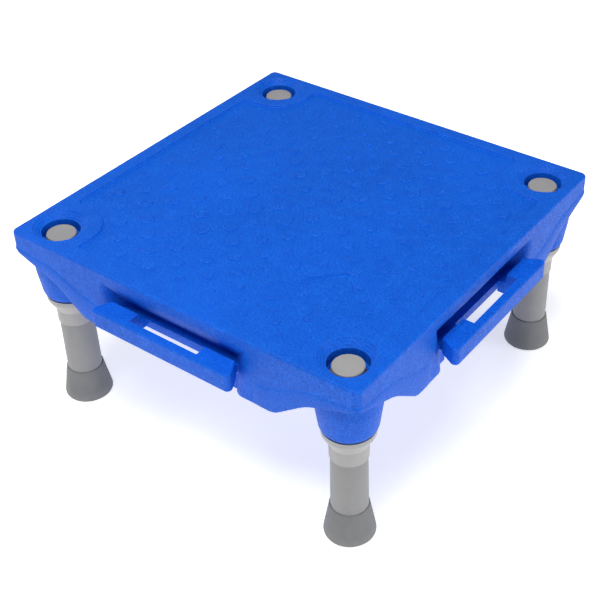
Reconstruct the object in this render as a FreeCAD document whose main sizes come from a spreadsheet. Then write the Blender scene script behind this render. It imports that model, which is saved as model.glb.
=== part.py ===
import FreeCAD, Part

import math
import os
import re

import Sketcher

# Raised square platform: a one-piece moulded deck standing on four legs that push up into
# sockets in its corners. Millimetres, +Z up, origin on the floor under the middle of the deck.

DIMENSIONS = {
    # deck
    "overall_height": (312, "floor to deck top"),
    "deck_side": (610, "skirt face to skirt face"),
    "deck_corner_radius": (10, "corner of the deck in plan"),
    "deck_edge_radius": (4, "rounding along the top edge"),
    "wall": (5, "skirt wall"),
    "plate_thickness": (8.5, "top plate at its rim"),
    "skirt_depth": (101, "skirt along the middle of each side"),
    "skirt_flat_half": (171.5, "middle of a side to where its lower edge starts to rise"),
    "skirt_rise_end": (224.5, "middle of a side to the end of the steep rise"),
    "skirt_shoulder_depth": (61, "skirt at the end of the steep rise"),
    "skirt_corner_depth": (31, "skirt at the corners"),
    "skirt_outer_bend": (28, "bend radius at the foot of the rise"),
    "skirt_inner_bend": (90, "bend radius at the head of the rise"),
    # recessed panel with its grip bumps
    "panel_inset": (24.5, "deck edge to panel edge"),
    "panel_depth": (3.2, "panel below the rim"),
    "island_radius": (61, "raised ground round each socket"),
    "panel_corner_radius": (9, "blend between panel edge and island"),
    "bump_pitch": (39.5, "bump to bump along a row"),
    "bump_row_pitch": (42.8, "middle row to the next row"),
    "bump_row_closing": (1.06, "how the rows close up away from the middle row"),
    "bump_diameter": (25, "bumps in the middle row"),
    "bump_shrink": (0.066, "loss of diameter per millimetre away from the middle row"),
    "bump_height": (1.6, "every bump"),
    "badge_side": (65, "plain sunken diamond"),
    "badge_offset": (152.5, "diamond centre from the deck centre, along X and along -Y"),
    "badge_radius": (7, "corners of the diamond"),
    "badge_depth": (1.2, "floor of the diamond below the panel"),
    "bump_gap": (4, "least gap from a bump to the edge of the panel"),
    "badge_gap": (1, "least gap from a bump to the diamond"),
    # leg sockets
    "leg_inset": (50, "deck edge to leg axis"),
    "boss_depth": (116, "deck top to the lower face of a socket boss"),
    "boss_radius": (45.5, "boss where it leaves the skirt"),
    "boss_taper_depth": (70, "deck top to where the boss starts to taper"),
    "boss_lower_radius": (39.5, "boss just above its rounded lower edge"),
    "boss_edge": (13, "rounding of the lower edge"),
    "socket_radius": (24.7, "bore that takes the leg"),
    "socket_tube_radius": (29, "outside of the tube round the bore"),
    "relief_radius": (34.5, "outside of the relief round that tube"),
    "relief_roof": (32, "deck top to the roof of the relief"),
    "dish_radius": (40, "dish round the hole, at the deck top"),
    "dish_depth": (8, "dish down to the edge of the hole"),
    "dish_rings": (3, "rings in the dish"),
    "dish_ring_fall": (0.3, "fall of each ring towards the hole"),
    "hole_radius": (28.5, "hole at the bottom of the dish"),
    "hole_depth": (24, "deck top to where the hole narrows to the bore"),
    # side hand-holds
    "bar_half_length": (127, "outer edge of the bar, from its middle"),
    "bar_root_half": (111, "inner edge of the bar, from its middle"),
    "bar_reach": (30, "skirt face to the outer face of the bar"),
    "bar_top": (43, "deck top to the top of the bar"),
    "bar_bottom": (71, "deck top to the underside of the bar"),
    "slot_half_length": (60, "slot along the bar, from its middle"),
    "slot_width": (17.5, "slot outside the skirt face"),
    "slot_inset": (11.5, "slot inside the skirt face"),
    "recess_top": (17, "deck top to the top of the recess, at the skirt face"),
    "recess_half": (130, "recess from its middle, along its top at the skirt face"),
    "recess_foot_half": (108, "recess from its middle, at the lower edge of the skirt"),
    "recess_rear_half": (92, "recess from its middle, at its back"),
    "recess_depth": (22, "skirt face to the back of the recess"),
    "recess_slope": (38, "how far the roof of the recess drops towards its back"),
    "recess_mouth_radius": (20, "rounding round the mouth of the recess"),
    "bar_corner_radius": (7, "upright corners of the bar"),
    "bar_edge_radius": (2.5, "long edges of the bar"),
    "web_thickness": (13, "web that carries the bar"),
    "web_half": (104, "web from its middle to the end of its join with the bar"),
    "web_lap": (3, "web into the bar"),
    "cheek_half": (115, "outer side of the cheek at each end of the web, from its middle"),
    "cheek_inner_half": (88, "inner side of that cheek"),
    "cheek_inset": (9, "cheek behind the skirt face"),
    # ribs under the plate
    "rib_thickness": (4, "ribs"),
    "rib_depth": (26, "ribs below the plate"),
    "rib_pitch": (60, "rib to rib"),
    "rib_count": (9, "ribs each way"),
    # legs
    "leg_top_gap": (12.4, "deck top to the end of the leg"),
    "plug_radius": (24.3, "leg inside the socket"),
    "leg_cap_radius": (21.8, "disc on the end of the leg"),
    "leg_cap_thickness": (5, "rim of that disc"),
    "leg_cap_plug": (10, "plug of the disc inside the leg tube"),
    "leg_cap_round": (1.5, "edge of the disc"),
    "plug_lead_in": (8, "tapered end of the leg"),
    "leg_bore": (20.5, "inside of the leg tube"),
    "tube_upper_radius": (25.7, "leg under the collar"),
    "tube_lower_radius": (26.6, "leg above the foot"),
    "tube_foot_radius": (25, "leg inside the foot"),
    "collar_radius": (37.5, "collar flange"),
    "collar_flange": (6, "height of the flange"),
    "collar_funnel": (20, "height of the funnel under it"),
    "collar_height": (49, "collar below the seat that carries the deck"),
    "collar_rim_rise": (1.2, "rim of the flange above that seat"),
    "collar_rim_bore": (34.6, "inside of the rim"),
    "collar_seat_radius": (28, "outside of the seat"),
    "collar_gutter": (1, "depth of the gutter between rim and seat"),
    "collar_flange_round": (4, "lower edge of the flange"),
    "collar_neck_round": (6, "bend from the funnel to the band"),
    "collar_band_radius": (27.4, "lower band of the collar"),
    "foot_height": (54, "rubber foot"),
    "foot_top_radius": (28.2, "top of the foot"),
    "foot_radius": (38, "bottom of the foot"),
    "foot_sole": (7, "rubber under the leg tube"),
    "foot_round": (4, "lower edge of the foot"),
    "foot_top_round": (2, "upper edge of the foot"),
    # cutting shapes
    "overrun": (5, "how far a cutting shape runs past what it cuts"),
    "clear_of_face": (1, "how far a cutting shape starts outside a face"),
}

CORNERS = {
    "front_left": (-1, -1),
    "front_right": (1, -1),
    "rear_left": (-1, 1),
    "rear_right": (1, 1),
}

# rows and columns of grip bumps tried on each side of the middle; those off the panel are dropped
BUMP_ROWS = 9
BUMP_COLUMNS = 7

doc = FreeCAD.newDocument("platform")
sheet = doc.addObject("Spreadsheet::Sheet", "Sizes")
for row, (alias, (value, meaning)) in enumerate(DIMENSIONS.items(), start=1):
    sheet.set("A%d" % row, str(value))
    sheet.setAlias("A%d" % row, alias)
    sheet.set("B%d" % row, meaning)
doc.recompute()


# ---- driving the model from the sheet ----

def linked(text):
    """The expression with each size's name pointing into the sheet."""
    return re.sub(r"[a-z_]+", lambda word: "Sizes." + word.group(0), str(text))


def size(text):
    """The number that an expression of sizes comes to."""
    return float(sheet.evalExpression(linked(text)))


def bind(feature, target, text):
    feature.setExpression(target, linked(text))


# ---- bodies and sketches ----

def new_body(label):
    body = doc.addObject("PartDesign::Body", label)
    body.Label = label
    return body


def origin_item(body, role):
    return next(item for item in body.Origin.OriginFeatures if item.Role == role)


def new_sketch(body, name, plane="XY_Plane"):
    sketch = body.newObject("Sketcher::SketchObject", name)
    sketch.AttachmentSupport = [(origin_item(body, plane), "")]
    sketch.MapMode = "FlatFace"
    return sketch


def pin_point(sketch, geometry, position, x_text, y_text):
    """Hold a point at two distances from the sketch origin."""
    for kind, axis, text in (("DistanceX", -2, x_text), ("DistanceY", -1, y_text)):
        if str(text) == "0":
            sketch.addConstraint(Sketcher.Constraint("PointOnObject", geometry, position, axis))
        else:
            limit = Sketcher.Constraint(kind, -1, 1, geometry, position, size(text))
            bind(sketch, "Constraints[%d]" % sketch.addConstraint(limit), text)


def pin_radius(sketch, geometry, text):
    limit = Sketcher.Constraint("Radius", geometry, size(text))
    bind(sketch, "Constraints[%d]" % sketch.addConstraint(limit), text)


def draw_outline(sketch, corners):
    """A closed outline through corners given as (x, y) or, where a corner is rounded, (x, y, radius)."""
    spots = [FreeCAD.Vector(size(corner[0]), size(corner[1]), 0) for corner in corners]
    count = len(corners)
    starts = {}
    ends = {}
    for i, corner in enumerate(corners):
        starts[i] = spots[i]
        ends[i] = spots[i]
        if len(corner) == 3:
            incoming = (spots[i - 1] - spots[i]).normalize()
            outgoing = (spots[(i + 1) % count] - spots[i]).normalize()
            half_angle = incoming.getAngle(outgoing) / 2
            setback = size(corner[2]) / math.tan(half_angle)
            ends[i] = spots[i] + incoming * setback
            starts[i] = spots[i] + outgoing * setback
    lines = []
    for i in range(count):
        line = Part.LineSegment(starts[i], ends[(i + 1) % count])
        lines.append(sketch.addGeometry(line, False))
    for i, corner in enumerate(corners):
        before = lines[i - 1]
        after = lines[i]
        if len(corner) == 2:
            sketch.addConstraint(Sketcher.Constraint("Coincident", before, 2, after, 1))
            pin_point(sketch, after, 1, corner[0], corner[1])
            continue
        tip = sketch.addGeometry(Part.Point(spots[i]), True)
        pin_point(sketch, tip, 1, corner[0], corner[1])
        sketch.addConstraint(Sketcher.Constraint("PointOnObject", tip, 1, before))
        sketch.addConstraint(Sketcher.Constraint("PointOnObject", tip, 1, after))
        inward = ((ends[i] + starts[i]) * 0.5 - spots[i]).normalize()
        half_angle = (ends[i] - spots[i]).getAngle(inward)
        centre = spots[i] + inward * (size(corner[2]) / math.sin(half_angle))
        middle = centre - inward * size(corner[2])
        arc = Part.Arc(ends[i], middle, starts[i])
        arc_id = sketch.addGeometry(arc, False)
        turns_left = (spots[i] - spots[i - 1]).cross(spots[(i + 1) % count] - spots[i]).z > 0
        first, last = (1, 2) if turns_left else (2, 1)
        sketch.addConstraint(Sketcher.Constraint("Tangent", before, 2, arc_id, first))
        sketch.addConstraint(Sketcher.Constraint("Tangent", arc_id, last, after, 1))
        pin_radius(sketch, arc_id, corner[2])


def draw_rectangle(sketch, left, right, low, high, radius=None):
    rounding = () if radius is None else (radius,)
    draw_outline(sketch, [
        (left, low) + rounding,
        (right, low) + rounding,
        (right, high) + rounding,
        (left, high) + rounding,
    ])


def extrude(body, sketch, kind, name, length, reverse=False):
    feature = body.newObject("PartDesign::" + kind, name)
    feature.Profile = sketch
    bind(feature, "Length", length)
    feature.Reversed = reverse
    return feature


def revolve(body, sketch, kind, name):
    feature = body.newObject("PartDesign::" + kind, name)
    feature.Profile = sketch
    feature.ReferenceAxis = (sketch, ["V_Axis"])
    feature.Angle = 360
    return feature


def repeat_on_four_sides(body, originals, name):
    pattern = body.newObject("PartDesign::PolarPattern", name)
    pattern.Originals = originals
    pattern.Axis = (origin_item(body, "Z_Axis"), [""])
    pattern.Angle = 360
    pattern.Occurrences = 4
    body.Tip = pattern
    return pattern


def expect_change(label, before, after, grows):
    """Stop if a feature did nothing, or changed the solid the wrong way."""
    if (after.Shape.Volume > before.Shape.Volume) != grows or after.Shape.isNull():
        raise RuntimeError("%s did not change the solid as it should" % label)


# ---- deck: its own zero height is the deck top ----

def skirt_with_wings(body):
    """Four walls whose lower edge rises to short wings at the corners."""
    ring = new_sketch(body, "skirt_outline")
    outer = "deck_side/2"
    draw_rectangle(ring, "-" + outer, outer, "-" + outer, outer, "deck_corner_radius")
    inner = "deck_side/2 - wall"
    draw_rectangle(ring, "-(%s)" % inner, inner, "-(%s)" % inner, inner, "deck_corner_radius - wall")
    skirt = extrude(body, ring, "Pad", "skirt", "skirt_depth", reverse=True)

    rise = new_sketch(body, "skirt_rise", "XZ_Plane")
    bind(rise, "AttachmentOffset.Base.z", "deck_side/2 + clear_of_face")
    beyond = "deck_side/2 + overrun"
    # the upper line is carried on past the corner of the deck at the same slope
    slope = "(skirt_shoulder_depth - skirt_corner_depth)/(deck_side/2 - skirt_rise_end)"
    beyond_depth = "skirt_corner_depth - overrun*%s" % slope
    below = "-(skirt_depth + overrun)"
    steep = "(skirt_depth - skirt_shoulder_depth)/(skirt_rise_end - skirt_flat_half)"
    for mirror in ("", "-"):
        outline = [
            (mirror + "(skirt_flat_half - overrun/(%s))" % steep, below),
            (mirror + "(%s)" % beyond, below),
            (mirror + "(%s)" % beyond, "-(%s)" % beyond_depth),
            (mirror + "skirt_rise_end", "-skirt_shoulder_depth", "skirt_inner_bend"),
        ]
        if mirror:
            outline.reverse()
        draw_outline(rise, outline)
    cut = extrude(body, rise, "Pocket", "skirt_rise_cut", "deck_corner_radius + clear_of_face")
    wings = repeat_on_four_sides(body, [cut], "skirt_wings")
    doc.recompute()
    expect_change("skirt wings", skirt, wings, grows=False)
    return round_edges(body, "skirt_bends", "skirt_outer_bend", on_skirt_bend)


def top_plate(body):
    outline = new_sketch(body, "plate_outline")
    half = "deck_side/2"
    draw_rectangle(outline, "-" + half, half, "-" + half, half, "deck_corner_radius")
    return extrude(body, outline, "Pad", "plate", "plate_thickness", reverse=True)


def ribs(body):
    """Two crossing rows of ribs under the top plate."""
    reach = "deck_side/2 - wall/2"
    first = "-rib_pitch*(rib_count - 1)/2"
    low = "%s - rib_thickness/2" % first
    high = "%s + rib_thickness/2" % first
    for name, axis in (("ribs_along_x", "Y_Axis"), ("ribs_along_y", "X_Axis")):
        outline = new_sketch(body, name + "_outline")
        bind(outline, "AttachmentOffset.Base.z", "-plate_thickness/2")
        if axis == "Y_Axis":
            draw_rectangle(outline, "-(%s)" % reach, reach, low, high)
        else:
            draw_rectangle(outline, low, high, "-(%s)" % reach, reach)
        rib = extrude(body, outline, "Pad", name + "_first", "rib_depth + plate_thickness/2", reverse=True)
        row = body.newObject("PartDesign::LinearPattern", name)
        row.Originals = [rib]
        row.Direction = (origin_item(body, axis), [""])
        bind(row, "Length", "rib_pitch*(rib_count - 1)")
        bind(row, "Occurrences", "rib_count")
        body.Tip = row


def put_on_leg_axis(sketch):
    bind(sketch, "AttachmentOffset.Base.x", "-(deck_side/2 - leg_inset)")
    bind(sketch, "AttachmentOffset.Base.z", "deck_side/2 - leg_inset")


def socket_bosses(body):
    """The cup-shaped boss under each corner."""
    profile = new_sketch(body, "boss_profile", "XZ_Plane")
    put_on_leg_axis(profile)
    draw_outline(profile, [
        ("0", "-boss_depth"),
        ("boss_lower_radius", "-boss_depth", "boss_edge"),
        ("boss_radius", "-boss_taper_depth", "boss_radius"),
        ("boss_radius", "-plate_thickness/2"),
        ("0", "-plate_thickness/2"),
    ])
    boss = revolve(body, profile, "Revolution", "boss")
    return repeat_on_four_sides(body, [boss], "bosses")


def sockets(body):
    """Dished holes that run down into the bores for the legs, and the relief round each bore."""
    profile = new_sketch(body, "socket_profile", "XZ_Plane")
    put_on_leg_axis(profile)
    ring_width = "(dish_radius - hole_radius)/dish_rings"
    outline = [("0", "overrun"), ("dish_radius", "overrun"), ("dish_radius", "0")]
    for ring in range(int(size("dish_rings"))):
        level = "-%d*dish_depth/dish_rings" % (ring + 1)
        outline.append(("dish_radius - %s*%s" % (ring + 0.5, ring_width), level))
        outline.append(("dish_radius - %d*%s" % (ring + 1, ring_width), level + " - dish_ring_fall"))
    outline += [
        ("hole_radius", "-hole_depth"),
        ("socket_radius", "-(hole_depth + hole_radius - socket_radius)"),
        ("socket_radius", "-(boss_depth + overrun)"),
        ("0", "-(boss_depth + overrun)"),
    ]
    outline.reverse()
    draw_outline(profile, outline)
    bore = revolve(body, profile, "Groove", "socket")

    relief_profile = new_sketch(body, "relief_profile", "XZ_Plane")
    put_on_leg_axis(relief_profile)
    draw_rectangle(relief_profile, "socket_tube_radius", "relief_radius",
                   "-(boss_depth + overrun)", "-relief_roof")
    relief = revolve(body, relief_profile, "Groove", "relief")
    return repeat_on_four_sides(body, [bore, relief], "sockets")


def hand_holds(body):
    """On each side, a scooped recess behind a bar, and the slotted web that joins the two."""
    face = "deck_side/2"
    back = "(deck_side/2 - recess_depth)"
    below = "-(skirt_depth + overrun)"

    housing_plan = new_sketch(body, "housing_plan")
    bind(housing_plan, "AttachmentOffset.Base.z", "-plate_thickness/2")
    draw_outline(housing_plan, [
        ("-(recess_half + wall)", "-(%s - wall/2)" % face),
        ("recess_half + wall", "-(%s - wall/2)" % face),
        ("recess_rear_half + 2*wall", "-(%s - wall)" % back),
        ("-(recess_rear_half + 2*wall)", "-(%s - wall)" % back),
    ])
    housing = extrude(body, housing_plan, "Pad", "housing", "skirt_depth - plate_thickness/2", reverse=True)

    mouth = new_sketch(body, "recess_mouth", "XZ_Plane")
    bind(mouth, "AttachmentOffset.Base.z", "%s + clear_of_face" % face)
    draw_outline(mouth, [
        ("-recess_foot_half", below),
        ("recess_foot_half", below),
        ("recess_half", "-recess_top"),
        ("-recess_half", "-recess_top"),
    ])
    rear = new_sketch(body, "recess_rear", "XZ_Plane")
    bind(rear, "AttachmentOffset.Base.z", back)
    draw_rectangle(rear, "-recess_rear_half", "recess_rear_half", below, "-(recess_top + recess_slope)")
    recess = body.newObject("PartDesign::SubtractiveLoft", "recess")
    recess.Profile = mouth
    recess.Sections = [rear]
    recess.Ruled = True

    bar_plan = new_sketch(body, "bar_plan")
    bind(bar_plan, "AttachmentOffset.Base.z", "-bar_top")
    draw_outline(bar_plan, [
        ("-bar_half_length", "-(%s + bar_reach)" % face),
        ("bar_half_length", "-(%s + bar_reach)" % face),
        ("bar_root_half", "-(%s)" % face),
        ("slot_half_length", "-(%s)" % face),
        ("slot_half_length", "-(%s + slot_width)" % face),
        ("-slot_half_length", "-(%s + slot_width)" % face),
        ("-slot_half_length", "-(%s)" % face),
        ("-bar_root_half", "-(%s)" % face),
    ])
    bar = extrude(body, bar_plan, "Pad", "bar", "bar_bottom - bar_top", reverse=True)

    cheek_face = "-(%s - cheek_inset)" % face
    behind = "-(%s - wall/2)" % back
    web_plan = new_sketch(body, "web_plan")
    bind(web_plan, "AttachmentOffset.Base.z", "-(bar_bottom - web_thickness)")
    draw_outline(web_plan, [
        ("-cheek_half", cheek_face),
        ("-web_half", cheek_face),
        ("-web_half", "-(%s + web_lap)" % face),
        ("-slot_half_length", "-(%s + web_lap)" % face),
        ("-slot_half_length", "-(%s - slot_inset)" % face),
        ("slot_half_length", "-(%s - slot_inset)" % face),
        ("slot_half_length", "-(%s + web_lap)" % face),
        ("web_half", "-(%s + web_lap)" % face),
        ("web_half", cheek_face),
        ("cheek_half", cheek_face),
        ("cheek_half", behind),
        ("-cheek_half", behind),
    ])
    web = extrude(body, web_plan, "Pad", "web", "web_thickness", reverse=True)

    cheek_plan = new_sketch(body, "cheek_plan")
    bind(cheek_plan, "AttachmentOffset.Base.z", "-(bar_bottom - web_thickness/2)")
    draw_rectangle(cheek_plan, "-cheek_half", "-cheek_inner_half", cheek_face, behind)
    draw_rectangle(cheek_plan, "cheek_inner_half", "cheek_half", cheek_face, behind)
    cheeks = extrude(body, cheek_plan, "Pad", "cheeks", "skirt_depth - bar_bottom + web_thickness/2", reverse=True)

    # between the cheeks the housing stops at the underside of the web
    clearance_plan = new_sketch(body, "clearance_plan")
    bind(clearance_plan, "AttachmentOffset.Base.z", "-bar_bottom")
    draw_rectangle(clearance_plan, "-cheek_inner_half", "cheek_inner_half",
                   "-(%s)" % face, "-(%s - wall - clear_of_face)" % back)
    clearance = extrude(body, clearance_plan, "Pocket", "clearance", "skirt_depth - bar_bottom + overrun")
    return repeat_on_four_sides(body, [housing, recess, bar, web, cheeks, clearance], "hand_holds")


def panel(body):
    """The sunken panel, whose corners go round the raised islands at the sockets."""
    outline = new_sketch(body, "panel_outline")
    half = size("deck_side/2 - panel_inset")
    leg = size("deck_side/2 - leg_inset")
    radius = size("island_radius")
    reach = leg - math.sqrt(radius ** 2 - (half - leg) ** 2)
    edges = []
    for turn in range(4):
        spin = FreeCAD.Rotation(FreeCAD.Vector(0, 0, 1), 90 * turn)
        start = spin.multVec(FreeCAD.Vector(-reach, -half, 0))
        end = spin.multVec(FreeCAD.Vector(reach, -half, 0))
        edges.append(outline.addGeometry(Part.LineSegment(start, end), False))
    for turn in range(4):
        spin = FreeCAD.Rotation(FreeCAD.Vector(0, 0, 1), 90 * turn)
        centre = FreeCAD.Vector(leg, -leg, 0)
        nearest = centre + FreeCAD.Vector(-radius, radius, 0) / math.sqrt(2)
        points = [FreeCAD.Vector(reach, -half, 0), nearest, FreeCAD.Vector(half, -reach, 0)]
        arc = outline.addGeometry(Part.Arc(*[spin.multVec(point) for point in points]), False)
        spot = spin.multVec(centre)
        signs = ["" if across > 0 else "-" for across in (spot.x, spot.y)]
        pin_point(outline, arc, 3, *[sign + "(deck_side/2 - leg_inset)" for sign in signs])
        pin_radius(outline, arc, "island_radius")
        # the arc runs clockwise about its island, so its sketch start is the later end
        outline.addConstraint(Sketcher.Constraint("Coincident", edges[turn], 2, arc, 2))
        outline.addConstraint(Sketcher.Constraint("Coincident", edges[(turn + 1) % 4], 1, arc, 1))
    for turn, (kind, axis, sign) in enumerate((
        ("Horizontal", "DistanceY", "-"),
        ("Vertical", "DistanceX", ""),
        ("Horizontal", "DistanceY", ""),
        ("Vertical", "DistanceX", "-"),
    )):
        outline.addConstraint(Sketcher.Constraint(kind, edges[turn]))
        text = sign + "(deck_side/2 - panel_inset)"
        limit = Sketcher.Constraint(axis, -1, 1, edges[turn], 1, size(text))
        bind(outline, "Constraints[%d]" % outline.addConstraint(limit), text)
    return extrude(body, outline, "Pocket", "panel", "panel_depth")


def badge(body):
    """A plain sunken diamond near the front right corner."""
    outline = new_sketch(body, "badge_outline")
    turned = FreeCAD.Rotation(FreeCAD.Vector(0, 0, 1), 45)
    outline.AttachmentOffset = FreeCAD.Placement(FreeCAD.Vector(), turned)
    bind(outline, "AttachmentOffset.Base.x", "badge_offset")
    bind(outline, "AttachmentOffset.Base.y", "-badge_offset")
    half = "badge_side/2"
    draw_rectangle(outline, "-" + half, half, "-" + half, half, "badge_radius")
    return extrude(body, outline, "Pocket", "badge", "panel_depth + badge_depth")


def edges_where(shape, test):
    """Names of the edges whose bounding box passes the test."""
    return ["Edge%d" % i for i, edge in enumerate(shape.Edges, start=1) if test(edge.BoundBox)]


def round_edges(body, name, radius, test):
    base = body.Tip
    doc.recompute()
    names = edges_where(base.Shape, test)
    if not names:
        raise RuntimeError("no edges found for " + name)
    feature = body.newObject("PartDesign::Fillet", name)
    feature.Base = (base, names)
    bind(feature, "Radius", radius)
    body.Tip = feature
    doc.recompute()
    if "Invalid" in feature.State:
        raise RuntimeError("%s failed on %d edges" % (name, len(names)))
    return feature


def check_everything():
    for item in doc.Objects:
        if "Invalid" in item.State or "Error" in item.State:
            raise RuntimeError("%s failed: %s" % (item.Label, item.State))


def near(value, text, slack=0.05):
    return abs(value - size(text)) < slack


def on_skirt_bend(box):
    """The short edges across the skirt wall where its lower edge starts to rise."""
    low = near(box.ZMin, "-skirt_depth") and near(box.ZMax, "-skirt_depth")
    across = max(box.XLength, box.YLength) < size("wall + 1") and min(box.XLength, box.YLength) < 0.01
    along = min(abs(box.XMin + box.XMax), abs(box.YMin + box.YMax)) / 2
    return low and across and near(along, "skirt_flat_half", 1)


def on_outer_top(box):
    """An edge of the deck's outline, at its top."""
    flat = near(box.ZMin, "0") and near(box.ZMax, "0")
    furthest = max(abs(box.XMin), abs(box.XMax), abs(box.YMin), abs(box.YMax))
    nearest_end = max(min(abs(box.XMin), abs(box.XMax)), min(abs(box.YMin), abs(box.YMax)))
    outermost = near(furthest, "deck_side/2")
    return flat and outermost and nearest_end > size("deck_side/2 - deck_corner_radius") - 1


def on_panel_corner(box):
    """An upright edge where the panel's straight edge meets an island."""
    upright = box.XLength < 0.01 and box.YLength < 0.01
    inside = max(abs(box.XMin), abs(box.YMin)) < size("deck_side/2 - panel_inset") + 0.1
    return upright and inside and near(box.ZMin, "-panel_depth") and near(box.ZMax, "0")


def on_panel_rim(level):
    """Edges round the panel at one level."""
    def test(box):
        flat = near(box.ZMin, level) and near(box.ZMax, level)
        half = size("deck_side/2 - panel_inset") + 0.1
        within = max(abs(box.XMin), abs(box.XMax), abs(box.YMin), abs(box.YMax)) < half
        straight = max(abs(box.XMin + box.XMax), abs(box.YMin + box.YMax)) / 2 > half - 1
        return flat and within and (straight or outside_dish(box))
    return test


def outside_dish(box):
    """True for edges round an island, and false for the dish inside it and the badge."""
    leg = size("deck_side/2 - leg_inset")
    x = abs(box.XMin + box.XMax) / 2
    y = abs(box.YMin + box.YMax) / 2
    span = max(box.XLength, box.YLength)
    return span > 4 and math.hypot(x - leg, y - leg) > size("dish_radius") and x > leg - 80 and y > leg - 80


def reach_of(box):
    """How far out from the middle of the deck an edge lies."""
    return max(abs(box.XMin), abs(box.XMax), abs(box.YMin), abs(box.YMax))


def on_bar_corner(box):
    """The upright edges at the outer corners of the bars."""
    upright = box.XLength < 0.01 and box.YLength < 0.01 and box.ZLength > 1
    return upright and near(reach_of(box), "deck_side/2 + bar_reach")


def on_bar_edge(box):
    """The edges along the outer face of each bar, round its corners and along its ends."""
    flat = near(box.ZMin, "-bar_top") and near(box.ZMax, "-bar_top")
    flat = flat or (near(box.ZMin, "-bar_bottom") and near(box.ZMax, "-bar_bottom"))
    return flat and near(reach_of(box), "deck_side/2 + bar_reach")


def on_recess_mouth(box):
    """The roof and end edges of each recess, on the skirt face."""
    across = [abs(box.XMin + box.XMax), abs(box.YMin + box.YMax)]
    lengths = [box.XLength, box.YLength]
    outermost = near(reach_of(box), "deck_side/2")
    on_face = outermost and min(lengths) < 0.01 and max(across) / 2 > size("deck_side/2") - 0.1
    roof = near(box.ZMin, "-recess_top", 2.5) and near(box.ZMax, "-recess_top", 2.5) and max(lengths) > 200
    end = near(box.ZMin, "-skirt_depth") and near(box.ZMax, "-recess_top", 2.5) and min(across) / 2 > 100
    return on_face and (roof or end)


def one_bump(radius, height, sunk):
    """A round bump with a flat top and a rounded shoulder, standing on its own origin."""
    shoulder = FreeCAD.Vector(radius - height, 0, height)
    bulge = height * math.sqrt(0.5)
    edges = [
        Part.LineSegment(FreeCAD.Vector(0, 0, height), shoulder),
        Part.Arc(shoulder, FreeCAD.Vector(radius - height + bulge, 0, bulge), FreeCAD.Vector(radius, 0, 0)),
        Part.LineSegment(FreeCAD.Vector(radius, 0, 0), FreeCAD.Vector(radius, 0, -sunk)),
        Part.LineSegment(FreeCAD.Vector(radius, 0, -sunk), FreeCAD.Vector(0, 0, -sunk)),
        Part.LineSegment(FreeCAD.Vector(0, 0, -sunk), FreeCAD.Vector(0, 0, height)),
    ]
    profile = Part.Face(Part.Wire([edge.toShape() for edge in edges]))
    return profile.revolve(FreeCAD.Vector(), FreeCAD.Vector(0, 0, 1), 360)


def bump_places():
    """Middles and radii of the grip bumps, in rows square to one diagonal of the panel.

    The rows close up and their bumps shrink away from the middle row.
    """
    half_panel = size("deck_side/2 - panel_inset")
    leg = size("deck_side/2 - leg_inset")
    gap = size("bump_gap")
    badge_reach = size("badge_side") / math.sqrt(2)
    places = []
    for row in range(-BUMP_ROWS, BUMP_ROWS + 1):
        step = size("bump_row_pitch") * abs(row) - size("bump_row_closing") * row ** 2
        along = math.copysign(step, row)
        radius = (size("bump_diameter") - size("bump_shrink") * step) / 2
        for column in range(-BUMP_COLUMNS, BUMP_COLUMNS + 1):
            across = column * size("bump_pitch")
            x = (across + along) / math.sqrt(2)
            y = (across - along) / math.sqrt(2)
            on_panel = max(abs(x), abs(y)) + radius + gap < half_panel
            off_islands = math.hypot(abs(x) - leg, abs(y) - leg) > size("island_radius") + radius + gap
            from_badge = abs(x - size("badge_offset")) + abs(y + size("badge_offset")) - badge_reach
            if on_panel and off_islands and from_badge > radius + size("badge_gap"):
                places.append((x, y, radius))
    return places


def bump_field():
    """All the grip bumps of the panel, each sunk a little into its floor."""
    bumps = []
    for x, y, radius in bump_places():
        bump = one_bump(radius, size("bump_height"), size("bump_height") / 2)
        bump.translate(FreeCAD.Vector(x, y, 0))
        bumps.append(bump)
    field = doc.addObject("Part::Feature", "grip_bumps")
    field.Shape = Part.makeCompound(bumps)
    bind(field, "Placement.Base.z", "overall_height - panel_depth")
    return field


def deck():
    body = new_body("deck_moulding")
    skirt_with_wings(body)
    top_plate(body)
    ribs(body)
    socket_bosses(body)
    hand_holds(body)
    panel(body)
    round_edges(body, "panel_corners", "panel_corner_radius", on_panel_corner)
    round_edges(body, "panel_rim", "panel_depth*0.45", on_panel_rim("0"))
    round_edges(body, "panel_foot", "panel_depth*0.45", on_panel_rim("-panel_depth"))
    round_edges(body, "deck_edge", "deck_edge_radius", on_outer_top)
    round_edges(body, "recess_mouths", "recess_mouth_radius", on_recess_mouth)
    round_edges(body, "bar_corners", "bar_corner_radius", on_bar_corner)
    round_edges(body, "bar_edges", "bar_edge_radius", on_bar_edge)
    sockets(body)
    badge(body)
    bind(body, "Placement.Base.z", "overall_height")
    whole = doc.addObject("Part::MultiFuse", "deck")
    whole.Shapes = [body, bump_field()]
    whole.Label = "deck"
    return whole


# ---- legs: each piece stands on the floor at its own leg axis ----

def turned_piece(label, signs, corners):
    """A round piece turned about its leg axis from a half outline."""
    body = new_body(label)
    profile = new_sketch(body, label + "_profile", "XZ_Plane")
    draw_outline(profile, corners)
    revolve(body, profile, "Revolution", label + "_turned")
    bind(body, "Placement.Base.x", "%d*(deck_side/2 - leg_inset)" % signs[0])
    bind(body, "Placement.Base.y", "%d*(deck_side/2 - leg_inset)" % signs[1])
    return body


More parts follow.
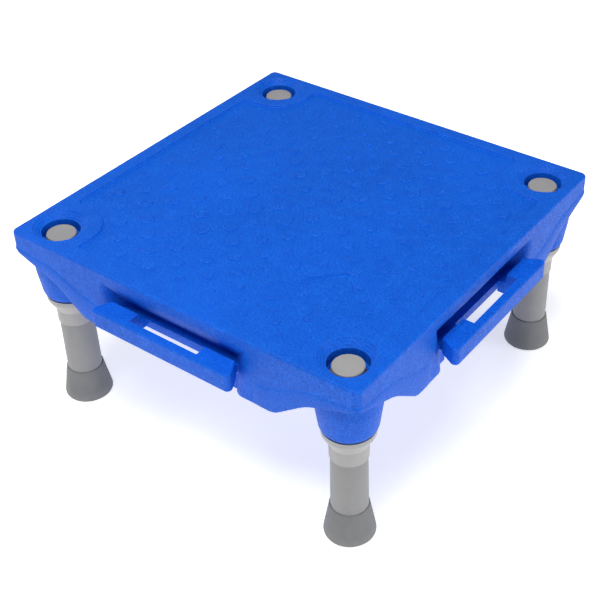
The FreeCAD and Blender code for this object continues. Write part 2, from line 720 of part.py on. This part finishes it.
def leg(corner, signs):
    collar_top = "(overall_height - boss_depth)"
    collar_foot = "(%s - collar_height)" % collar_top
    leg_end = "(overall_height - leg_top_gap)"
    tube_end = "(%s - leg_cap_thickness)" % leg_end
    tube = turned_piece("leg_tube_" + corner, signs, [
        ("leg_bore", "foot_sole"),
        ("tube_foot_radius", "foot_sole"),
        ("tube_foot_radius", "foot_height"),
        ("tube_lower_radius", "foot_height"),
        ("tube_upper_radius", collar_foot),
        ("plug_radius", collar_foot),
        ("plug_radius", "%s - plug_lead_in" % tube_end),
        ("leg_cap_radius", tube_end),
        ("leg_bore", tube_end),
    ])
    collar = turned_piece("leg_collar_" + corner, signs, [
        ("plug_radius", collar_foot),
        ("collar_band_radius", collar_foot),
        ("collar_band_radius", "%s - collar_flange - collar_funnel" % collar_top, "collar_neck_round"),
        ("collar_radius", "%s - collar_flange" % collar_top, "collar_flange_round"),
        ("collar_radius", collar_top + " + collar_rim_rise"),
        ("collar_rim_bore", collar_top + " + collar_rim_rise"),
        ("collar_seat_radius + collar_gutter", collar_top + " - collar_gutter"),
        ("collar_seat_radius", collar_top),
        ("plug_radius", collar_top),
    ])
    cap = turned_piece("leg_cap_" + corner, signs, [
        ("0", "%s - leg_cap_plug" % tube_end),
        ("leg_bore", "%s - leg_cap_plug" % tube_end),
        ("leg_bore", tube_end),
        ("leg_cap_radius", tube_end),
        ("leg_cap_radius", leg_end, "leg_cap_round"),
        ("0", leg_end),
    ])
    foot = turned_piece("rubber_foot_" + corner, signs, [
        ("0", "0"),
        ("foot_radius", "0", "foot_round"),
        ("foot_top_radius", "foot_height", "foot_top_round"),
        ("tube_foot_radius", "foot_height"),
        ("tube_foot_radius", "foot_sole"),
        ("0", "foot_sole"),
    ])
    return [tube, collar, cap, foot]


def main():
    pieces = [deck()]
    for corner, signs in CORNERS.items():
        pieces += leg(corner, signs)
    doc.recompute()
    check_everything()
    for piece in pieces:
        if piece.Shape.isNull() or not piece.Shape.isValid() or len(piece.Shape.Solids) != 1:
            raise RuntimeError("%s is not one sound solid" % piece.Label)
    os.makedirs("parts", exist_ok=True)
    for piece in pieces:
        piece.Shape.exportStep("parts/%s.step" % piece.Label)
        print(piece.Label, round(piece.Shape.Volume / 1000), "cm3", piece.Shape.BoundBox)


main()
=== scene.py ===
import math

import bmesh
import bpy
from mathutils import Matrix, Vector


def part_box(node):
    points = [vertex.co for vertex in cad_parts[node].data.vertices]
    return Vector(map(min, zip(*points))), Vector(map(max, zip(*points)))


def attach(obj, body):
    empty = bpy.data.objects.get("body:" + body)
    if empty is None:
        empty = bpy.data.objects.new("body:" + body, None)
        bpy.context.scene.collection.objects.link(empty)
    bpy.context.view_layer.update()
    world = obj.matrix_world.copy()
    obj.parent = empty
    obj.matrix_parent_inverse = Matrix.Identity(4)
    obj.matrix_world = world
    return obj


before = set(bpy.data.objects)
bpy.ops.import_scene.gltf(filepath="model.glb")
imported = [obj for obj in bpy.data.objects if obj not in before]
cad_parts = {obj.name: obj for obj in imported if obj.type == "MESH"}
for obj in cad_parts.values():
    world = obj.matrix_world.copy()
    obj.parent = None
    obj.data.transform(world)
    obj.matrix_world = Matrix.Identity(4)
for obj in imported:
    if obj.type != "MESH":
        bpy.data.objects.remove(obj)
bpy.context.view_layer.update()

# Looks of the raised square platform. Metres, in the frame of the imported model.

MM = 0.001
CORNERS = ("front_left", "front_right", "rear_left", "rear_right")

# Driving sizes of the skirt, as the deck is moulded
DECK_HALF = 305 * MM
DECK_CORNER = 10 * MM
DECK_TOP = 312 * MM
SKIRT_DROP = 101 * MM
SKIRT_SHOULDER_DROP = 61 * MM
SKIRT_CORNER_DROP = 31 * MM
SKIRT_FLAT_HALF = 171.5 * MM
SKIRT_RISE_END = 224.5 * MM
SKIRT_OUTER_BEND = 28 * MM
SKIRT_INNER_BEND = 90 * MM

# The raised lip along the lower part of the skirt
LIP_START = 138 * MM
LIP_STAND = 1.1 * MM
LIP_SHOULDER = 5 * MM
LIP_TUCK = 0.6 * MM
LIP_STEPS = 90
LIP_BACK = 2.5 * MM
LIP_BACK_STEP = 0.8 * MM
LIP_TAPER_STEPS = 6
LIP_END_SHARE = 0.1
CORNER_STEPS = 8
CREASE_DROP_AT_CORNER = 26 * MM
CREASE_FALL = 34 * MM
CREASE_DROP_AT_RECESS = 64 * MM
CREASE_TURN = 235 * MM

# The gate mark: each ring of its profile is a share of the radius and how far it stands out
LEG_RADIUS = 25.75 * MM
GATE_RADIUS = 2.6 * MM
GATE_DROP = 20 * MM
GATE_FACING = math.radians(-18)
GATE_SIDES = 28
GATE_RINGS = (
    (1.0, -0.5 * MM),
    (0.93, 0.25 * MM),
    (0.78, 0.42 * MM),
    (0.60, 0.25 * MM),
    (0.30, 0.18 * MM),
)

# Camera: place and aim as in the reference view, lens and shift as on a 36 mm sensor
CAMERA_PLACE = (0.905, -1.158, DECK_TOP + 0.9494)
CAMERA_AZIMUTH = math.radians(36.25)
CAMERA_ELEVATION = math.radians(36.82)
CAMERA_ROLL = math.radians(-0.81)
CAMERA_LENS = 70.8
CAMERA_SHIFT_X = -0.0657
CAMERA_SHIFT_Y = -0.0300

# Studio: light powers in watts, brightness of the sweep, and the sines of the heights where it fades
LEFT_POWER = 17
RIGHT_POWER = 22
TOP_POWER = 78
SWEEP_BRIGHT = 0.40
SWEEP_DARK = 0.04
SWEEP_TURNS_AT = 0.26
SWEEP_ENDS_AT = 0.60
FLOOR_GLOW = 0.60
FLOOR_SIZE = 14
FLOOR_DROP = 0.2 * MM
LIGHT_AIM = (0, 0, 0.2)


def node_named(prefix, corner):
    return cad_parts["%s_%s" % (prefix, corner)]


def axis_of(corner):
    """The leg axis at a corner, from the box of its foot."""
    low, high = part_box("rubber_foot_" + corner)
    return (low + high) / 2


# ---- shader nodes ----

class Finish:
    """A material and short ways to add nodes to it."""

    def __init__(self, name):
        self.material = bpy.data.materials.new(name)
        self.material.use_nodes = True
        self.tree = self.material.node_tree
        self.shader = self.tree.nodes["Principled BSDF"]
        self.place = self.add("ShaderNodeTexCoord").outputs["Object"]

    def add(self, kind, inputs=None, **settings):
        node = self.tree.nodes.new(kind)
        for key, value in settings.items():
            setattr(node, key, value)
        for key, value in (inputs or {}).items():
            self.feed(node.inputs[key], value)
        return node

    def feed(self, socket, value):
        if isinstance(value, bpy.types.NodeSocket):
            self.tree.links.new(value, socket)
        else:
            socket.default_value = value

    def noise(self, scale, detail=2.0, roughness=0.5):
        inputs = {"Vector": self.place, "Scale": scale, "Detail": detail, "Roughness": roughness}
        return self.add("ShaderNodeTexNoise", inputs).outputs["Fac"]

    def pebbles(self, scale):
        """Rounded cells, as in a spark-eroded mould."""
        inputs = {"Vector": self.place, "Scale": scale, "Smoothness": 0.6}
        return self.add("ShaderNodeTexVoronoi", inputs, feature="SMOOTH_F1").outputs["Distance"]

    def remap(self, value, low, high, to_low=0.0, to_high=1.0):
        inputs = {"Value": value, "From Min": low, "From Max": high, "To Min": to_low, "To Max": to_high}
        return self.add("ShaderNodeMapRange", inputs, clamp=True).outputs["Result"]

    def arithmetic(self, operation, first, second):
        return self.add("ShaderNodeMath", {0: first, 1: second}, operation=operation).outputs[0]

    def mix(self, factor, first, second):
        node = self.add("ShaderNodeMix", data_type="RGBA")
        self.feed(node.inputs[0], factor)
        self.feed(node.inputs[6], first)
        self.feed(node.inputs[7], second)
        return node.outputs[2]

    def edges(self, radius, low, high):
        """1 along convex and concave edges, 0 on the flats between them."""
        rounded = self.add("ShaderNodeBevel", {"Radius": radius}, samples=6).outputs["Normal"]
        plain = self.add("ShaderNodeNewGeometry").outputs["Normal"]
        agree = self.add("ShaderNodeVectorMath", {0: rounded, 1: plain}, operation="DOT_PRODUCT")
        turned = self.arithmetic("SUBTRACT", 1.0, agree.outputs["Value"])
        return self.remap(turned, low, high)

    def bump(self, height, depth, under=None):
        inputs = {"Height": height, "Distance": depth, "Strength": 1.0}
        if under is not None:
            inputs["Normal"] = under
        return self.add("ShaderNodeBump", inputs).outputs["Normal"]


def grey(value, warm=0.0):
    return (value * (1 + warm), value, value * (1 - warm), 1.0)


def deck_plastic():
    """Saturated blue polyethylene with a coarse spark grain, and a painted highlight that makes the
    rounded edges paler.
    """
    look = Finish("deck_plastic")
    broad = look.remap(look.noise(5.0, 3.0), 0.35, 0.65)
    speckle = look.remap(look.noise(330.0, 3.0, 0.65), 0.36, 0.66)
    grain = look.arithmetic("MULTIPLY", speckle, look.remap(look.noise(60.0), 0.3, 0.7, 0.55, 1.0))
    deep = look.mix(broad, (0.0004, 0.070, 0.50, 1.0), (0.0005, 0.086, 0.60, 1.0))
    colour = look.mix(grain, deep, (0.0060, 0.150, 0.76, 1.0))
    # Paler blue along convex and concave rounded edges is a painted edge highlight, broken up by noise.
    highlit_edges = look.edges(2.5 * MM, 0.02, 0.30)
    painted_highlight = look.arithmetic("MULTIPLY", highlit_edges, look.remap(look.noise(45.0, 4.0), 0.30, 0.62, 0.15, 0.55))
    look.feed(look.shader.inputs["Base Color"], look.mix(painted_highlight, colour, (0.030, 0.210, 0.84, 1.0)))
    look.feed(look.shader.inputs["Roughness"], look.remap(speckle, 0.0, 1.0, 0.56, 0.42))
    coarse = look.bump(look.noise(190.0, 3.0, 0.55), 0.55 * MM)
    fine = look.bump(look.pebbles(620.0), 0.30 * MM, coarse)
    look.feed(look.shader.inputs["Normal"], fine)
    look.shader.inputs["IOR"].default_value = 1.50
    look.shader.inputs["Specular IOR Level"].default_value = 0.18
    return look.material


def grey_plastic(name, tone, warm, roughness, smudge):
    """Grey moulded plastic with faint flow marks and handling smudges."""
    look = Finish(name)
    cloud = look.remap(look.noise(14.0, 4.0, 0.6), 0.35, 0.68)
    speckle = look.remap(look.noise(500.0, 2.0), 0.35, 0.65)
    base = look.mix(cloud, grey(tone * 0.93, warm), grey(tone * 1.06, warm))
    base = look.mix(look.arithmetic("MULTIPLY", speckle, 0.35), base, grey(tone * 1.16, warm))
    dirt = look.remap(look.noise(32.0, 5.0, 0.65), 0.60, 0.78, 0.0, smudge)
    base = look.mix(dirt, base, grey(tone * 0.55, warm + 0.05))
    # Paler grey along convex and concave rounded edges is a painted edge highlight.
    highlit_edges = look.arithmetic("MULTIPLY", look.edges(1.6 * MM, 0.02, 0.30), 0.35)
    painted_highlight = grey(min(tone * 1.45, 0.85), warm)
    gloss = look.remap(cloud, 0.0, 1.0, roughness - 0.05, roughness + 0.08)
    look.feed(look.shader.inputs["Base Color"], look.mix(highlit_edges, base, painted_highlight))
    look.feed(look.shader.inputs["Roughness"], gloss)
    look.feed(look.shader.inputs["Normal"], look.bump(look.noise(420.0, 3.0), 0.12 * MM))
    look.shader.inputs["IOR"].default_value = 1.48
    return look.material


def foot_rubber():
    """Matte grey rubber, a little dusty near the floor."""
    look = Finish("foot_rubber")
    tone = 0.19
    cloud = look.remap(look.noise(20.0, 4.0, 0.6), 0.35, 0.68)
    base = look.mix(cloud, grey(tone * 0.90, -0.01), grey(tone * 1.10, -0.01))
    smudge = look.remap(look.noise(38.0, 4.0, 0.6), 0.60, 0.74, 0.0, 0.35)
    base = look.mix(smudge, base, grey(tone * 0.62, 0.06))
    height = look.add("ShaderNodeSeparateXYZ", {"Vector": look.place}).outputs["Z"]
    dust = look.remap(height, 16 * MM, 0.0, 0.0, 0.30)
    dusty = look.arithmetic("MULTIPLY", dust, look.remap(look.noise(70.0, 4.0), 0.3, 0.7, 0.4, 1.0))
    look.feed(look.shader.inputs["Base Color"], look.mix(dusty, base, grey(0.36, 0.02)))
    look.feed(look.shader.inputs["Roughness"], look.remap(cloud, 0.0, 1.0, 0.62, 0.78))
    look.feed(look.shader.inputs["Normal"], look.bump(look.noise(520.0, 3.0, 0.6), 0.16 * MM))
    look.shader.inputs["Specular IOR Level"].default_value = 0.35
    look.shader.inputs["Sheen Weight"].default_value = 0.08
    look.shader.inputs["Sheen Roughness"].default_value = 0.5
    return look.material


def floor_paint():
    look = Finish("floor_paint")
    cloud = look.remap(look.noise(1.5, 2.0), 0.3, 0.7)
    look.feed(look.shader.inputs["Base Color"], look.mix(cloud, grey(0.90), grey(0.93)))
    look.shader.inputs["Roughness"].default_value = 0.9
    look.shader.inputs["Specular IOR Level"].default_value = 0.1
    look.shader.inputs["Emission Color"].default_value = (1.0, 1.0, 1.0, 1.0)
    look.shader.inputs["Emission Strength"].default_value = FLOOR_GLOW
    return look.material


def dress(obj, material):
    obj.data.materials.clear()
    obj.data.materials.append(material)


def dress_frame():
    deck_finish = deck_plastic()
    looks = {
        "leg_tube": grey_plastic("leg_plastic", 0.25, 0.005, 0.46, 0.22),
        "leg_collar": grey_plastic("collar_plastic", 0.36, 0.015, 0.42, 0.12),
        "leg_cap": grey_plastic("cap_plastic", 0.31, 0.03, 0.50, 0.10),
        "rubber_foot": foot_rubber(),
    }
    dress(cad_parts["deck"], deck_finish)
    for corner in CORNERS:
        for prefix, material in looks.items():
            dress(node_named(prefix, corner), material)
    return deck_finish, looks["leg_tube"]


def close_and_link(mesh, rows, name, material):
    """A closed smooth object from rows of points, each row a closed section."""
    count = len(rows[0])
    for before, after in zip(rows, rows[1:]):
        for i in range(count):
            j = (i + 1) % count
            mesh.faces.new((before[i], after[i], after[j], before[j]))
    mesh.faces.new(rows[0])
    mesh.faces.new(list(reversed(rows[-1])))
    bmesh.ops.recalc_face_normals(mesh, faces=mesh.faces)
    data = bpy.data.meshes.new(name)
    mesh.to_mesh(data)
    mesh.free()
    data.shade_smooth()
    piece = bpy.data.objects.new(name, data)
    bpy.context.collection.objects.link(piece)
    dress(piece, material)
    return piece


# ---- the lip along the lower edge of the skirt ----

def bend_drop(reach, corner, slope_in, slope_out, radius):
    """Depth at a reach near a rounded corner of the skirt's lower edge."""
    angle_in = math.atan(slope_in)
    angle_out = math.atan(slope_out)
    setback = radius * math.tan(abs(angle_out - angle_in) / 2)
    start = Vector((corner[0] - setback * math.cos(angle_in), corner[1] - setback * math.sin(angle_in)))
    side = 1 if angle_out > angle_in else -1
    centre = start + Vector((-math.sin(angle_in), math.cos(angle_in))) * radius * side
    return centre.y - side * math.sqrt(radius ** 2 - (reach - centre.x) ** 2)


def skirt_drop(reach):
    """How far the skirt's lower edge lies below the deck top, a distance along from the middle."""
    steep = (SKIRT_SHOULDER_DROP - SKIRT_DROP) / (SKIRT_RISE_END - SKIRT_FLAT_HALF)
    gentle = (SKIRT_CORNER_DROP - SKIRT_SHOULDER_DROP) / (DECK_HALF - SKIRT_RISE_END)
    lower = (SKIRT_FLAT_HALF, SKIRT_DROP)
    upper = (SKIRT_RISE_END, SKIRT_SHOULDER_DROP)
    lower_setback = SKIRT_OUTER_BEND * math.tan(-math.atan(steep) / 2)
    upper_setback = SKIRT_INNER_BEND * math.tan((math.atan(gentle) - math.atan(steep)) / 2)
    if reach < lower[0] - lower_setback:
        return SKIRT_DROP
    if reach < lower[0] + lower_setback * math.cos(math.atan(steep)):
        return bend_drop(reach, lower, 0.0, steep, SKIRT_OUTER_BEND)
    if reach < upper[0] - upper_setback * math.cos(math.atan(steep)):
        return SKIRT_DROP + steep * (reach - lower[0])
    if reach < upper[0] + upper_setback * math.cos(math.atan(gentle)):
        return bend_drop(reach, upper, steep, gentle, SKIRT_INNER_BEND)
    return SKIRT_SHOULDER_DROP + gentle * (reach - upper[0])


def crease_drop(reach):
    """How far the upper edge of the lip lies below the deck top."""
    share = min(max((CREASE_TURN - reach) / (CREASE_TURN - LIP_START), 0.0), 1.0)
    eased = share * share * (3 - 2 * share)
    drop = CREASE_DROP_AT_CORNER + (DECK_HALF - reach) / DECK_HALF * CREASE_FALL
    return drop + (CREASE_DROP_AT_RECESS - drop) * eased


def corner_path():
    """Points and outward directions along the deck's outline round its front right corner."""
    straight = DECK_HALF - DECK_CORNER
    points = []
    for step in range(LIP_STEPS + 1):
        reach = LIP_START + (straight - LIP_START) * step / LIP_STEPS
        points.append((Vector((reach, -DECK_HALF)), Vector((0, -1)), reach))
    centre = Vector((straight, -straight))
    for step in range(1, CORNER_STEPS):
        angle = -math.pi / 2 + math.pi / 2 * step / CORNER_STEPS
        outward = Vector((math.cos(angle), math.sin(angle)))
        spot = centre + outward * DECK_CORNER
        points.append((spot, outward, max(abs(spot.x), abs(spot.y))))
    for step in range(LIP_STEPS + 1):
        reach = straight - (straight - LIP_START) * step / LIP_STEPS
        points.append((Vector((DECK_HALF, -reach)), Vector((1, 0)), reach))
    return points


def lip_section(reach, taper):
    """The lip's section at a reach, as (outward, height) pairs from its upper to its lower edge."""
    top = DECK_TOP - crease_drop(reach)
    foot = DECK_TOP - skirt_drop(reach)
    shoulder = min(LIP_SHOULDER, (top - foot) * 0.4)
    stand = LIP_STAND * taper
    return (
        (-LIP_TUCK, top + LIP_TUCK),
        (0.0, top),
        (stand * 0.55, top - shoulder * 0.45),
        (stand, top - shoulder),
        (stand, foot + LIP_STAND),
        (stand * 0.75, foot + LIP_STAND * 0.25),
        (stand * 0.2, foot - LIP_STAND * 0.15),
        (-LIP_TUCK, foot - LIP_STAND * 0.1),
        (-LIP_BACK, foot - LIP_STAND * 0.1),
        (-LIP_BACK, foot + LIP_BACK_STEP),
    )


def skirt_lip(corner, turn, material):
    """A smooth raised lip round one corner of the deck, from hand-hold to hand-hold."""
    mesh = bmesh.new()
    path = corner_path()
    spin = Matrix.Rotation(turn, 3, "Z")
    rows = []
    for index, (spot, outward, reach) in enumerate(path):
        from_end = min(index, len(path) - 1 - index)
        taper = min(from_end / LIP_TAPER_STEPS, 1.0) * (1 - LIP_END_SHARE) + LIP_END_SHARE
        row = []
        for offset, height in lip_section(reach, taper):
            place = spot + outward * offset
            row.append(mesh.verts.new(spin @ Vector((place.x, place.y, height))))
        rows.append(row)
    lip = close_and_link(mesh, rows, "skirt_lip_" + corner, material)
    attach(lip, "platform")


# ---- gate mark on each leg ----

def gate_mark(corner, material):
    """The small round mark that moulding leaves on a leg, just under its collar."""
    collar_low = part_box("leg_collar_" + corner)[0]
    axis = axis_of(corner)
    height = collar_low.z - GATE_DROP
    outward = Vector((math.cos(GATE_FACING), math.sin(GATE_FACING), 0))
    across = Vector((-outward.y, outward.x, 0))
    centre = Vector((axis.x, axis.y, height)) + outward * LEG_RADIUS
    mesh = bmesh.new()
    rows = []
    for share, stand in GATE_RINGS:
        radius = GATE_RADIUS * share
        row = []
        for side in range(GATE_SIDES):
            angle = 2 * math.pi * side / GATE_SIDES
            lift = Vector((0, 0, math.sin(angle) * radius))
            place = centre + across * math.cos(angle) * radius + lift + outward * stand
            row.append(mesh.verts.new(place))
        rows.append(row)
    mark = close_and_link(mesh, rows, "gate_mark_" + corner, material)
    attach(mark, "leg_" + corner)


# ---- studio ----

def studio_floor():
    bpy.ops.mesh.primitive_plane_add(size=FLOOR_SIZE, location=(0, 0, -FLOOR_DROP))
    floor = bpy.context.object
    floor.name = "studio_floor"
    dress(floor, floor_paint())


def soft_light(name, place, width, height, power, tint):
    data = bpy.data.lights.new(name, "AREA")
    data.shape = "RECTANGLE"
    data.size = width
    data.size_y = height
    data.energy = power
    data.color = tint
    lamp = bpy.data.objects.new(name, data)
    bpy.context.collection.objects.link(lamp)
    lamp.location = place
    lamp.rotation_euler = (Vector(LIGHT_AIM) - Vector(place)).to_track_quat("-Z", "Y").to_euler()


def studio_sweep():
    """Surroundings like a white paper sweep: bright near the floor and darker overhead."""
    world = bpy.data.worlds.new("studio")
    bpy.context.scene.world = world
    world.use_nodes = True
    tree = world.node_tree
    direction = tree.nodes.new("ShaderNodeTexCoord").outputs["Generated"]
    height = tree.nodes.new("ShaderNodeSeparateXYZ")
    tree.links.new(direction, height.inputs[0])
    ramp = tree.nodes.new("ShaderNodeMapRange")
    tree.links.new(height.outputs["Z"], ramp.inputs["Value"])
    ramp.inputs["From Min"].default_value = SWEEP_TURNS_AT
    ramp.inputs["From Max"].default_value = SWEEP_ENDS_AT
    ramp.inputs["To Min"].default_value = SWEEP_BRIGHT
    ramp.inputs["To Max"].default_value = SWEEP_DARK
    background = tree.nodes["Background"]
    background.inputs["Color"].default_value = (0.98, 0.99, 1.0, 1.0)
    tree.links.new(ramp.outputs["Result"], background.inputs["Strength"])


def studio_lights():
    soft_light("left_light", (-2.6, -0.2, 1.3), 1.8, 1.6, LEFT_POWER, (1.0, 0.99, 0.97))
    soft_light("right_light", (2.6, 0.9, 1.1), 1.8, 1.6, RIGHT_POWER, (0.98, 0.99, 1.0))
    soft_light("top_light", (0.3, -0.9, 2.9), 1.5, 1.5, TOP_POWER, (1.0, 1.0, 1.0))


def studio_camera():
    """A camera above the front right corner, looking down across the deck."""
    back = Vector((
        math.sin(CAMERA_AZIMUTH) * math.cos(CAMERA_ELEVATION),
        -math.cos(CAMERA_AZIMUTH) * math.cos(CAMERA_ELEVATION),
        math.sin(CAMERA_ELEVATION),
    ))
    right = Vector((math.cos(CAMERA_AZIMUTH), math.sin(CAMERA_AZIMUTH), 0))
    up = back.cross(right)
    rolled_right = right * math.cos(CAMERA_ROLL) + up * math.sin(CAMERA_ROLL)
    rolled_up = up * math.cos(CAMERA_ROLL) - right * math.sin(CAMERA_ROLL)
    data = bpy.data.cameras.new("camera")
    data.sensor_width = 36
    data.lens = CAMERA_LENS
    data.shift_x = CAMERA_SHIFT_X
    data.shift_y = CAMERA_SHIFT_Y
    camera = bpy.data.objects.new("camera", data)
    bpy.context.collection.objects.link(camera)
    turn = Matrix((rolled_right, rolled_up, back)).transposed().to_4x4()
    camera.matrix_world = Matrix.Translation(CAMERA_PLACE) @ turn
    bpy.context.scene.camera = camera


deck_finish, leg_finish = dress_frame()
for quarter, corner in enumerate(("front_right", "rear_right", "rear_left", "front_left")):
    skirt_lip(corner, quarter * math.pi / 2, deck_finish)
for corner in CORNERS:
    gate_mark(corner, leg_finish)
studio_floor()
studio_sweep()
studio_lights()
studio_camera()
bpy.context.scene.view_settings.view_transform = "Standard"
